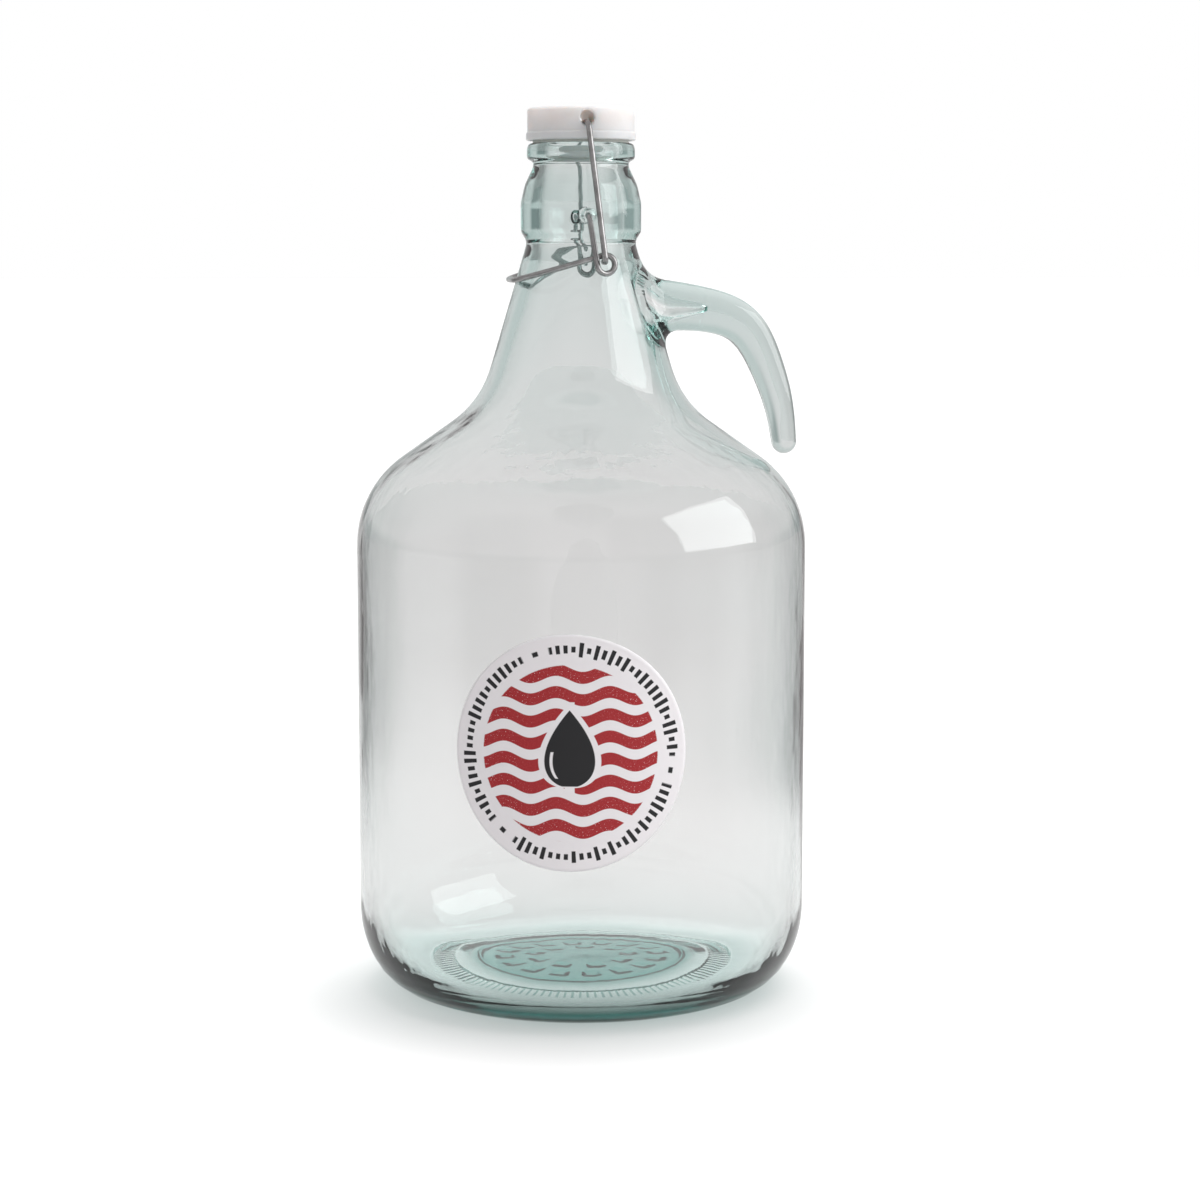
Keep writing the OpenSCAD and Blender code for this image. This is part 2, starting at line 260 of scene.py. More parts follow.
def steel_material():
    """Drawn steel wire: fine lines along its length and slightly uneven shine."""
    g = material_graph("drawn_steel")
    lines = g.noise(g.place((24, 0.03, 1), "UV"), 3.0, 3.0, 0.5)
    cloud = g.noise(g.place(), 240.0, 3.0, 0.55)
    colour = g.mix(g.ramp(cloud, 0.3, 0.75), rgba(0.26, 0.26, 0.26), rgba(0.39, 0.39, 0.39))
    return g.finish(g.node("BsdfPrincipled", {
        "Base Color": colour, "Metallic": 1.0,
        "Roughness": g.ramp(lines, 0.25, 0.8, 0.20, 0.34),
        "Normal": g.bump(lines, 0.1, 0.0001)}))


def plastic_material():
    """White moulded plastic: satin, with a faint grain and handling marks."""
    g = material_graph("white_moulded_plastic")
    grain = g.noise(g.place(), 900.0, 3.0, 0.55)
    cloud = g.noise(g.place(), 70.0, 3.0, 0.5)
    colour = g.mix(g.ramp(cloud, 0.35, 0.7), rgba(0.72, 0.71, 0.705), rgba(0.78, 0.77, 0.77))
    return g.finish(g.node("BsdfPrincipled", {
        "Base Color": colour, "IOR": 1.49, "Subsurface Weight": 0.7, "Subsurface Scale": 0.012,
        "Subsurface Radius": (1.0, 0.8, 0.7),
        "Roughness": g.ramp(grain, 0.3, 0.7, 0.30, 0.44),
        "Normal": g.bump(g.plus(grain, cloud), 0.12, 0.0003)}))


def rubber_material():
    """Soft pale rubber, matt and finely grained."""
    g = material_graph("pale_rubber")
    grain = g.noise(g.place(), 1400.0, 3.0, 0.6)
    colour = g.mix(g.ramp(grain, 0.3, 0.7), rgba(0.60, 0.62, 0.58), rgba(0.70, 0.71, 0.67))
    return g.finish(g.node("BsdfPrincipled", {
        "Base Color": colour, "Roughness": g.ramp(grain, 0.3, 0.7, 0.5, 0.68),
        "Normal": g.bump(grain, 0.2, 0.0002)}))


# the label's print, in millimetres
BARS, BARS_R, BAR_SHORT, BAR_LONG, GROUPS, GROUPS_TURN, DOT_R = 84, 39.4, 1.1, 2.9, 3.0, 0.53, 0.9
WAVES_R, WAVE_LENGTH, WAVE_HEIGHT, WAVE_STEP, WAVE_SHIFT = 33.5, 20.0, 1.5, 8.4, 100.0
DROP_LOW, DROP_TALL, DROP_WIDE, DROP_MIDDLE = -13.0, 30.0, 26.0, 2.0


def label_material():
    """Printed film: a ring of dark bars, red waves and a plain water drop. UVs are millimetres."""
    g = material_graph("printed_label_film")
    uv = g.node("TexCoord").outputs["UV"]
    u, v, _ = g.split(uv)
    rough_edge = g.times(g.minus(g.noise(uv, 2.4, 3.0, 0.7), 0.5), 0.5)
    radius = g.plus(g.length(u, v), rough_edge)
    turn = g.math("DIVIDE", g.math("ARCTAN2", v, u), TAU)

    def below(value, edge, soft=0.18):
        return g.ramp(value, edge - soft, edge + soft, 1.0, 0.0)

    def band(value, middle, half):
        return below(g.off(value, middle), half)

    # ring of bars of uneven length, in three groups with a dot in each gap
    cell = g.times(turn, BARS)
    chance = g.node("TexWhiteNoise", {"W": g.math("FLOOR", cell)}, noise_dimensions="1D")
    length = g.ramp(chance.outputs[0], 0.0, 1.0, BAR_SHORT, BAR_LONG)
    across = g.off(g.math("FRACT", cell), 0.5)
    off_line = g.off(radius, BARS_R)
    bar = g.times(g.ramp(across, 0.24, 0.30, 1.0, 0.0), below(g.minus(off_line, length), 0.0, 0.15))
    gap = g.off(g.math("FRACT", g.times(g.plus(turn, GROUPS_TURN), GROUPS)), 0.5)
    bar = g.times(bar, g.ramp(gap, 0.06, 0.07))
    dot = g.times(below(off_line, DOT_R), g.ramp(gap, 0.011, 0.016, 1.0, 0.0))

    # red disc of water waves, worn in places
    wave = g.times(g.math("SINE", g.times(u, TAU / WAVE_LENGTH)), WAVE_HEIGHT)
    level = g.math("DIVIDE", g.plus(g.plus(v, wave), WAVE_SHIFT), WAVE_STEP)
    waves = g.ramp(g.off(g.math("FRACT", level), 0.5), 0.26, 0.285, 1.0, 0.0)
    red = g.times(waves, below(radius, WAVES_R))
    specks = g.noise(uv, 1.5, 4.0, 0.75)
    worn = g.times(g.ramp(specks, 0.62, 0.66), g.ramp(radius, 14.0, 30.0))
    red = g.times(red, g.minus(1.0, worn))

    # water drop in a clear border: its half width follows from the height
    t = g.math("DIVIDE", g.minus(v, DROP_LOW), DROP_TALL)
    t = g.math("MINIMUM", g.math("MAXIMUM", t, 0.0), 1.0)
    half = g.times(g.times(g.math("SQRT", t), g.minus(1.0, t)), DROP_WIDE)
    side = g.minus(g.math("ABSOLUTE", u), half)
    clear = g.times(g.ramp(side, 1.7, 2.0, 1.0, 0.0), band(v, DROP_MIDDLE, 17.5))
    drop = g.times(g.ramp(side, -0.6, -0.3, 1.0, 0.0), band(v, DROP_MIDDLE, 14.5))
    glint = g.times(band(side, -3.0, 0.55), band(v, -4.5, 5.0))
    glint = g.times(glint, g.ramp(u, -0.5, 0.5, 1.0, 0.0))
    red = g.times(red, g.minus(1.0, clear))
    dark = g.math("MAXIMUM", g.math("MAXIMUM", bar, dot), g.times(drop, g.minus(1.0, glint)))

    fibre = g.noise(uv, 5.0, 4.0, 0.6)
    white = g.mix(fibre, rgba(0.82, 0.80, 0.82), rgba(0.88, 0.86, 0.88))
    ink = g.mix(g.ramp(specks, 0.3, 0.7), rgba(0.34, 0.018, 0.022), rgba(0.42, 0.035, 0.04))
    colour = g.mix(dark, g.mix(red, white, ink), rgba(0.018, 0.018, 0.02))
    return g.finish(g.node("BsdfPrincipled", {
        "Base Color": colour, "IOR": 1.35, "Roughness": g.ramp(fibre, 0.3, 0.7, 0.36, 0.5),
        "Normal": g.bump(fibre, 0.08, 0.0002)}))


def backing_material():
    """The label's plain back, seen through the jug."""
    g = material_graph("label_backing")
    fibre = g.noise(g.place(), 300.0, 4.0, 0.6)
    colour = g.mix(fibre, rgba(0.62, 0.62, 0.61), rgba(0.74, 0.74, 0.73))
    return g.finish(g.node("BsdfPrincipled", {"Base Color": colour, "Roughness": 0.55}))


def floor_material():
    """Pale floor, with a painted shadow before the jug. The glass sees it with a painted glow under
    the jug, and painted shade far off, to the left and in the corners.
    """
    g = material_graph("pale_floor")
    where = g.place()
    cloud = g.noise(where, 3.0, 3.0, 0.5)
    x, y, _ = g.split(where)
    camera, through = g.ray("Camera"), g.ray("Transmission")
    away = g.length(x, y)
    square = g.math("DIVIDE", g.farther(x, y), g.math("MAXIMUM", away, 0.01))
    # painted shade in the far corners, darker to the left, for rays that do not come from the camera
    corner_shade = g.times(g.ramp(square, CORNER_ENDS, WALL_STARTS, 1.0, 0.0), g.ramp(away, 0.25, 0.70))
    dark = g.mix(g.ramp(x, -0.5, 0.8), rgba(0.24, 0.235, 0.235), rgba(0.34, 0.33, 0.33))
    close = g.mix(cloud, rgba(0.625, 0.575, 0.58), rgba(0.645, 0.595, 0.60))
    # painted falloff: the floor darker far off and to the left, away from the key light
    far = g.mix(g.ramp(x, -0.4, 0.4), rgba(0.52, 0.48, 0.485), rgba(0.57, 0.525, 0.53))
    bright = g.mix(g.ramp(away, 0.25, 1.0), close, far)
    paper = g.mix(cloud, rgba(0.595, 0.60, 0.60), rgba(0.615, 0.62, 0.62))
    indirect = g.mix(corner_shade, g.mix(through, paper, bright), dark)
    paint = g.node("BsdfDiffuse", {"Color": g.mix(camera, indirect, paper)})
    # painted glow on the floor under the jug, seen only through the glass
    under = g.times(through, g.ramp(away, 0.072, 0.108, 0.34, 0.0))
    # for the camera, an even glow that whitens the floor, weaker near the front of the jug: a painted
    # shadow
    before = g.length(x, g.plus(y, 0.025))
    lift_with_painted_shadow = g.times(camera, g.ramp(before, 0.06, 0.14, 0.05, 0.36))
    lift = g.node("Emission", {"Color": rgba(1, 1, 1), "Strength": g.plus(under, lift_with_painted_shadow)})
    return g.finish(g.node("AddShader", {0: paint.outputs[0], 1: lift.outputs[0]}))


# ---------------------------------------------------------------- mesh helpers

def make_object(name, verts, faces, materials, body, uv=None, face_slots=None):
    """A smooth-shaded mesh object, verts in millimetres, riding on a body."""
    mesh = bpy.data.meshes.new(name)
    mesh.from_pydata((np.asarray(verts) * MM).tolist(), [], faces)
    for m in materials:
        mesh.materials.append(m)
    mesh.polygons.foreach_set("use_smooth", [True] * len(mesh.polygons))
    if face_slots is not None:
        mesh.polygons.foreach_set("material_index", face_slots)
    if uv is not None:
        layer = mesh.uv_layers.new(name="UVMap")
        loops = np.empty(len(mesh.loops), dtype=np.int32)
        mesh.loops.foreach_get("vertex_index", loops)
        layer.data.foreach_set("uv", np.asarray(uv, dtype=np.float32)[loops].ravel())
    mesh.validate()
    ob = link(bpy.data.objects.new(name, mesh))
    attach(ob, body)
    return ob


def corner(a, c, b, r, step):
    """Points on the arc of radius r that rounds corner c between a and b."""
    a, c, b = (np.array(p, dtype=float) for p in (a, c, b))
    u, v = (a - c) / np.linalg.norm(a - c), (b - c) / np.linalg.norm(b - c)
    half = math.acos(max(-1.0, min(1.0, float(u @ v)))) / 2
    if half > math.pi / 2 - 1e-3:
        return [c]
    reach, way = r / math.tan(half), (u + v) / np.linalg.norm(u + v)
    middle = c + way * r / math.sin(half)
    s, e = c + u * reach - middle, c + v * reach - middle
    whole = math.acos(max(-1.0, min(1.0, float(s @ e) / r ** 2)))
    n = max(2, math.ceil(math.degrees(whole) / step))
    return [middle + (s * math.sin((1 - k / n) * whole) + e * math.sin(k / n * whole))
            / math.sin(whole) for k in range(n + 1)]


def rounded(points, step=4.0):
    """A polyline in any number of dimensions through corners given as (*place, radius)."""
    places = [np.array(p[:-1], dtype=float) for p in points]
    out = [places[0]]
    for i in range(1, len(points) - 1):
        r = points[i][-1]
        out += corner(places[i - 1], places[i], places[i + 1], r, step) if r else [places[i]]
    return np.array(out + [places[-1]])


def resample(path, spacing):
    """Points along a polyline, spacing apart; spacing is a number or one for each point."""
    steps = np.linalg.norm(np.diff(path, axis=0), axis=1)
    at = np.concatenate([[0], np.cumsum(steps)])
    want = np.broadcast_to(spacing, at.shape).astype(float)
    count = np.concatenate([[0], np.cumsum(steps * 2 / (want[1:] + want[:-1]))])
    n = max(2, int(round(count[-1])))
    where = np.interp(np.linspace(0, count[-1], n + 1), count, at)
    return np.stack([np.interp(where, at, path[:, k]) for k in range(path.shape[1])], axis=1)


# a wire's rounded end, in wire radii: how far in each ring lies and its radius
END_RINGS = [(0.0, 0.72), (0.1, 0.93), (0.3, 1.0)]
# no other ring lies closer to an end than this many wire radii
END_CLEAR = 0.6
# where the first ring's UV seam points: any direction that no wire starts along
SEAM = (0.3, 0.2, 0.93)


def tube(path, radius, sides):
    """Vertices, faces and UVs of a wire along a 3D path, its ends slightly rounded."""
    tangent = np.gradient(path, axis=0)
    tangent /= np.linalg.norm(tangent, axis=1, keepdims=True)
    length = np.concatenate([[0], np.cumsum(np.linalg.norm(np.diff(path, axis=0), axis=1))])
    side = np.cross(tangent[0], SEAM)
    angles = np.arange(sides) * TAU / sides
    rings, uvs = [], []

    def ring(centre, t, r, along):
        up = np.cross(t, side)
        rings.append(centre + r * (np.outer(np.cos(angles), side) + np.outer(np.sin(angles), up)))
        uvs.append(np.stack([angles / TAU, np.full(sides, along)], axis=1))

    for i, (p, t) in enumerate(zip(path, tangent)):
        side = side - t * (side @ t)
        side /= np.linalg.norm(side)
        if i == 0:
            for inward, wide in END_RINGS:
                ring(p + t * radius * inward, t, radius * wide, 0)
        elif i == len(path) - 1:
            for inward, wide in END_RINGS[::-1]:
                ring(p - t * radius * inward, t, radius * wide, length[i])
        elif radius * END_CLEAR < length[i] < length[-1] - radius * END_CLEAR:
            ring(p, t, radius, length[i])
    n = len(rings)
    verts, uv = np.concatenate(rings), np.concatenate(uvs)
    grid = np.arange(n * sides).reshape(n, sides)
    nxt = np.roll(grid, -1, axis=1)
    faces = np.stack([grid[:-1], nxt[:-1], nxt[1:], grid[1:]], axis=2).reshape(-1, 4).tolist()
    faces += [grid[0][::-1].tolist(), grid[-1].tolist()]
    return verts, faces, uv


def bell(reach, width):
    """Weights of a bell-shaped average over this many points to each side."""
    weights = np.exp(-0.5 * (np.arange(-reach, reach + 1) / width) ** 2)
    return weights / weights.sum()


def averaged(padded, weights):
    return np.stack([np.convolve(line, weights, "valid") for line in padded.T], axis=1)


# ---------------------------------------------------------------- glass jug

# columns of vertices round the wall; two of them make one ridge under the heel
COLUMNS = 240
# outside and inside of the wall: radius, height, fillet
OUTSIDE = [(46, 3, 1.2), (60, 0, 4), (66, 0, 0), "heel", (89.95, 33, 0), (89.95, 201.6, 42.6),
           (40.2, 236.6, 40), (21.4, 299.8, 4), (23.9, 303.6, 1.2), (23.9, 315, 4),
           (22.3, 322.0, 8), (18.9, 329.2, 1.2), (18.9, 331.0, 0.6), (21.4, 332.2, 1.2),
           (21.4, 336.0, 1.2), (20.8, 338.4, 1.2)]
INSIDE = [(16, 338.4, 0.6), (14.5, 336.9, 0), (14.5, 329.2, 4), (16.8, 313.5, 4),
          (16.8, 303.6, 0), (17.4, 291.8, 8), (36.2, 234.6, 44), (87, 200.1, 39.6), (87, 36, 0),
          "heel", (64.5, 6, 8), (50, 8, 4)]
HEEL_OUT, HEEL_IN = (66, 33, 23.95, 33), (65.25, 36, 21.75, 30)
# the handle's bar: x, z of its middle, half thickness in its plane, half width across it
HANDLE = [(20, 274.9, 12, 10.5), (30, 274.6, 10.6, 9.3), (38.6, 274.3, 9.7, 8.4),
          (48.8, 273.1, 8.9, 7.9), (57.5, 271.2, 8.5, 7.6), (64.4, 267.9, 8.1, 7.3),
          (69.2, 262.6, 7.7, 7.0), (73.0, 255.6, 7.1, 6.7), (76.4, 247.2, 6.6, 6.4),
          (79.2, 239.2, 6.1, 6.1), (81.4, 229.6, 5.4, 5.6), (82.5, 219.8, 4.9, 5.2)]
# radius of the hollow that runs from the neck into the handle's root, by x
SPIKE_X = (14.0, 22.0, 26.0, 30.8, 36.2, 44.4, 49.8, 52.0)
SPIKE_R = (17.0, 12.5, 9.0, 5.9, 4.0, 2.6, 1.6, 0.0)
SPIKE_Z = 273.3
# the hollow draws in the wall within this distance of its axis, and blends into it over this
SPIKE_EDGE, SPIKE_BLEND = 13.0, 3.0
# the bar's section is a superellipse of this power, and blends into the wall over this
BAR_POWER, BAR_BLEND = 2.7, 7.5
# how much of a level distance to the cone is square to it
CONE_SQUARE = 0.957
# hole in the wall for the handle: its top and bottom, and half its width in columns
HOLE_TOP, HOLE_BOTTOM, HOLE_HALF = 283.5, 264.5, 13
# the bar's own rings start at this x, after this many steps from the hole's edge
BAR_START, ROOT_STEPS = 42.0, 12
# row spacing: the turn between rows in degrees, and its limits
ROW_TURN, ROW_FINEST, ROW_COARSEST = 4.5, 0.45, 5.0

# relief under the glass: each ring's inner and outer radius, the marks' number, and their depth
RIDGES, RIDGE_HIGH = (52.0, 62.5), 1.0
GROOVE, GROOVE_DEEP = (41.0, 43.0), 0.9
INNER_MARKS, INNER_COUNT, OUTER_MARKS, OUTER_COUNT, MARK_DEEP = (17.0, 22.5), 9, (28.0, 35.5), 16, 1.0
# fine rings round the heel: their heights, pitch and depth
HEEL_RINGS, HEEL_PITCH, HEEL_DEEP = (1.0, 14.0), 3.2, 0.22
# the dimple for each of the lever's pins: depth, radius at the surface, and width of its slope
DIMPLE_DEEP, DIMPLE_R, DIMPLE_SLOPE = 2.4, 3.0, 1.45


def heel_points(heel, outward):
    r, z, a, b = heel
    way = np.linspace(0, math.pi / 2, 26)[1:-1]
    points = [(r + a * math.sin(t), z - b * math.cos(t), 0) for t in way]
    return points if outward else points[::-1]


def wall_profile():
    """The wall as one line from under the middle of the floor, round the lip, to inside it."""
    control = [(0, 3, 0)]
    for p in OUTSIDE:
        control += heel_points(HEEL_OUT, True) if p == "heel" else [p]
    for p in INSIDE:
        control += heel_points(HEEL_IN, False) if p == "heel" else [p]
    dense = resample(rounded(control + [(0, 8, 0)], 1.5), 0.08)
    # soften the joins between arcs
    reach = 12
    for _ in range(3):
        dense = averaged(np.pad(dense, ((reach, reach), (0, 0)), mode="edge"), bell(reach, 4.5))
    return dense


def row_spacing(profile):
    """Wanted distance between rows at each point of the profile."""
    r, z = profile.T
    step = np.gradient(profile, axis=0)
    angle = np.unwrap(np.arctan2(step[:, 1], step[:, 0]))
    bend = np.abs(np.gradient(angle)) / np.linalg.norm(step, axis=1)
    bend = np.convolve(bend, np.ones(15) / 15, "same")
    want = np.clip(np.radians(ROW_TURN) / np.maximum(bend, 1e-4), ROW_FINEST, ROW_COARSEST)
    handle_root = (z > 254) & (z < 292)
    dimples = (z > 300) & (z < 318) & (r > 20)
    ridges = (r > 50) & (r < 69) & (z < 6)
    marks = (r < 46) & (z < 6)
    for zone, finest in ((handle_root, 1.15), (dimples, 0.55), (ridges, 0.8), (marks, 1.0)):
        want = np.where(zone, np.minimum(want, finest), want)
    reach = 40
    padded = np.pad(want, (reach, reach), mode="edge")
    return np.min(np.lib.stride_tricks.sliding_window_view(padded, 2 * reach + 1), axis=1)


def smooth_min(a, b, k):
    """The smaller of a and b, rounded where they are less than k apart."""
    h = np.clip(0.5 + 0.5 * (b - a) / k, 0, 1)
    return b + (a - b) * h - k * h * (1 - h)


class HandleShape:
    """The bar of the handle as a swept superellipse, and its blend into the wall."""

    def __init__(self, outside):
        reach = 9
        dense = resample(np.array(HANDLE), 1.0)
        ends = np.pad(dense, ((reach, reach), (0, 0)), mode="reflect", reflect_type="odd")
        self.line = averaged(ends, bell(reach, 3.5))
        self.tangent = np.gradient(self.line[:, :2], axis=0)
        self.tangent /= np.linalg.norm(self.tangent, axis=1, keepdims=True)
        self.wall_z, self.wall_r = outside[:, 1], outside[:, 0]

    def bar(self, p):
        """Distance outside the bar, roughly, for points p."""
        near = np.argmin((p[:, None, 0] - self.line[None, :, 0]) ** 2
                         + (p[:, None, 2] - self.line[None, :, 1]) ** 2, axis=1)
        q, t = self.line[near], self.tangent[near]
        across = (p[:, 0] - q[:, 0]) * t[:, 1] - (p[:, 2] - q[:, 1]) * t[:, 0]
        size = np.abs(across / q[:, 2]) ** BAR_POWER + np.abs(p[:, 1] / q[:, 3]) ** BAR_POWER
        return (size ** (1 / BAR_POWER) - 1) * np.minimum(q[:, 2], q[:, 3])

    def field(self, p):
        """Distance outside the bar and the wall together, roughly, for points p."""
        wall = np.hypot(p[:, 0], p[:, 1]) - np.interp(p[:, 2], self.wall_z, self.wall_r)
        return smooth_min(wall * CONE_SQUARE, self.bar(p), BAR_BLEND)

    def project(self, p, turns=4):
        """Moves points p onto the surface, in small steps along the field's slope."""
        e = 0.05
        for _ in range(turns):
            f = self.field(p)
            g = np.stack([(self.field(p + d) - f) / e for d in np.eye(3) * e], axis=1)
            step = f / np.maximum((g * g).sum(axis=1), 0.2)
            p = p - np.clip(step, -1.5, 1.5)[:, None] * g
        return p

    def ring(self, i, angles):
        """The bar's outline at station i, angle 0 away from the jug's mouth side."""
        x, z, a, b = self.line[i]
        t = self.tangent[i]
        c, s = np.cos(angles), np.sin(angles)
        size = (np.abs(c) ** BAR_POWER + np.abs(s) ** BAR_POWER) ** (-1 / BAR_POWER)
        up, out = c * size * a, s * size * b
        return np.stack([x - t[1] * up, out, z + t[0] * up], axis=1)


def smooth_rows(verts, ids, faces, turns, weight, hold=None):
    """Laplacian smoothing of the vertices ids; hold puts them back on their surface each turn."""
    pairs = np.concatenate([np.stack([f, np.roll(f, -1)], axis=1) for f in faces])
    pairs = np.concatenate([pairs, pairs[:, ::-1]])
    moving = np.zeros(len(verts), dtype=bool)
    moving[ids] = True
    pairs = pairs[moving[pairs[:, 0]]]
    count = np.bincount(pairs[:, 0], minlength=len(verts)).astype(float)
    for _ in range(turns):
        total = np.zeros_like(verts)
        np.add.at(total, pairs[:, 0], verts[pairs[:, 1]])
        mean = total[ids] / count[ids, None]
        verts[ids] += weight * (mean - verts[ids])
        if hold:
            verts[ids] = hold(verts[ids])
    return verts


def hole_loop(low, high, half):
    """Vertex places (row, column) round the hole for the handle, from the top towards +Y."""
    loop = [(high, c) for c in range(0, half)]
    loop += [(r, half) for r in range(high, low, -1)]
    loop += [(low, c) for c in range(half, -half, -1)]
    loop += [(r, -half) for r in range(low, high)]
    return loop + [(high, c) for c in range(-half, 0)]


def spike_curve():
    """x of the hollow in the handle's root by distance from its axis, and how far along it is."""
    reach = 40
    rho = np.linspace(0, SPIKE_R[0], 681)
    x = np.interp(rho, SPIKE_R[::-1], SPIKE_X[::-1])
    ends = np.pad(x, reach, mode="reflect")
    ends[-reach:] = x[-1] + (x[-1] - x[-reach - 1:-1][::-1])
    x = np.convolve(ends, bell(reach, 16.0), "valid")
    along = np.concatenate([[0], np.cumsum(np.hypot(np.diff(rho), np.diff(x)))])
    return rho, x, along


def push_spike(p, inside_r, inside_z):
    """Draws the inner wall out along the hollow in the handle's root."""
    rho_at, x_at, along = spike_curve()
    y, dz = p[:, 1], p[:, 2] - SPIKE_Z
    rho = np.hypot(y, dz)
    near = (p[:, 0] > 0) & (rho < SPIKE_EDGE)
    whole = np.interp(SPIKE_EDGE, rho_at, along)
    squeezed = np.interp(whole * rho[near] / SPIKE_EDGE, along, rho_at)
    scale = np.where(rho[near] > 1e-6, squeezed / np.maximum(rho[near], 1e-6), 0.3)
    y2, dz2 = y[near] * scale, dz[near] * scale
    order = np.argsort(inside_z)
    r_in = np.interp(dz2 + SPIKE_Z, inside_z[order], inside_r[order])
    wall = np.sqrt(np.maximum(r_in ** 2 - y2 ** 2, 1.0))
    spike = np.interp(squeezed, rho_at, x_at)
    p[near] = np.stack([-smooth_min(-wall, -spike, SPIKE_BLEND), y2, dz2 + SPIKE_Z], axis=1)
    return p


def surface_detail(p, outside, column):
    """Relief under the glass and round its heel, the pins' dimples, and an uneven inner wall."""
    r, theta = np.hypot(p[:, 0], p[:, 1]), np.arctan2(p[:, 1], p[:, 0])
    x, y, z = p.T

    def hump(value, lo, hi, soft):
        """1 between lo and hi and 0 outside, with slopes this wide inside them."""
        return (np.clip((value - lo) / soft, 0, 1) * np.clip((hi - value) / soft, 0, 1))

    def move_out(before, change):
        p[:, :2] *= ((before + change) / np.maximum(before, 1e-6))[:, None]

    under = outside & (z < 12)
    ridge = RIDGE_HIGH * hump(r, *RIDGES, 1.5) * (column % 2)
    ring = -GROOVE_DEEP * hump(r, *GROOVE, 0.7)
    inner_marks = hump(r, *INNER_MARKS, 1.0) * hump(np.cos(INNER_COUNT * theta), 0.0, 2.0, 0.4)
    outer_marks = hump(r, *OUTER_MARKS, 1.2) * hump(np.cos(OUTER_COUNT * theta), -0.1, 2.0, 0.4)
    p[under, 2] += (ridge + ring - MARK_DEEP * (inner_marks + outer_marks))[under]
    heel = outside & (z > HEEL_RINGS[0]) & (z < HEEL_RINGS[1]) & (r > HEEL_OUT[0])
    rings = HEEL_DEEP * np.sin(z * TAU / HEEL_PITCH) * hump(z, *HEEL_RINGS, 2.0) * heel
    move_out(r, -rings)
    from_pin = np.hypot(x, z - HINGES["lever_swing"][2] / MM)
    slope = np.clip((DIMPLE_R - from_pin) / DIMPLE_SLOPE, 0, 1)
    dimple = DIMPLE_DEEP * slope * (outside & (r > 20) & (z > 300))
    keep = np.hypot(x, y)
    move_out(keep, -dimple)
    # three slow waves of the blown inside, which fade out in the neck
    wave = (0.13 * np.sin(2 * theta + 0.045 * z) + 0.10 * np.sin(3 * theta - 0.03 * z + 1.0)
            + 0.10 * np.sin(0.11 * z + theta))
    move_out(keep, wave * np.clip((r - 24) / 20, 0, 1) * ~outside)
    return p


def wall_faces(ids, low, high, floor_ids):
    """Faces of the wall, with a hole for the handle, and the two fans that close its floor."""
    faces = []
    for i in range(len(ids) - 1):
        for c in range(COLUMNS):
            in_hole = low <= i < high and (c < HOLE_HALF or c >= COLUMNS - HOLE_HALF)
            if not in_hole:
                d = (c + 1) % COLUMNS
                faces.append((ids[i, c], ids[i, d], ids[i + 1, d], ids[i + 1, c]))
    for c in range(COLUMNS):
        d = (c + 1) % COLUMNS
        faces.append((floor_ids[0], ids[0, d], ids[0, c]))
        faces.append((floor_ids[1], ids[-1, c], ids[-1, d]))
    return faces


def handle_rings(shape, start):
    """Rings of vertices from the hole's edge to the handle's rounded end, and the end's tip."""
    angles = np.arange(len(start)) * TAU / len(start)
    first = int(np.argmax(shape.line[:, 0] > BAR_START))
    target = shape.ring(first, angles)
    rings = [start + (target - start) * k / ROOT_STEPS for k in range(1, ROOT_STEPS)]
    rings += [shape.ring(i, angles) for i in range(first, len(shape.line))]
    x, z, thick, _ = shape.line[-1]
    t = shape.tangent[-1]
    last, middle, ahead = rings[-1], np.array([x, 0, z]), np.array([t[0], 0, t[1]]) * thick
    for turn in np.radians(np.arange(12, 85, 12)):
        rings.append(middle + (last - middle) * math.cos(turn) + ahead * math.sin(turn))
    return rings, middle + ahead


def handle_faces(grid, tip):
    m = grid.shape[1]
    faces = []
    for k in range(len(grid) - 1):
        for j in range(m):
            n = (j + 1) % m
            faces.append((grid[k, j], grid[k + 1, j], grid[k + 1, n], grid[k, n]))
    return faces + [(grid[-1, j], tip, grid[-1, (j + 1) % m]) for j in range(m)]


def settle_root(verts, faces, ids, low, high, grid, shape):
    """Puts the handle's root on the blend of bar and wall, and evens out the mesh there."""
    def wall_block(more_rows, more_columns):
        """Vertices of the wall over the hole and this far past it on every side."""
        rows = np.arange(low - more_rows, high + 1 + more_rows)
        columns = np.arange(-HOLE_HALF - more_columns, HOLE_HALF + 1 + more_columns)
        return ids[np.ix_(rows, columns % COLUMNS)].ravel()

    hole = wall_block(-1, -1)
    around = np.setdiff1d(wall_block(14, 22), hole)
    verts[around] = shape.project(verts[around])
    close = np.setdiff1d(wall_block(6, 9), hole)
    moving = np.concatenate([close, grid[1:ROOT_STEPS + 8].ravel()])
    quads = [f for f in faces if len(f) == 4]
    return smooth_rows(verts, moving, quads, 40, 0.5, lambda p: shape.project(p, 1))


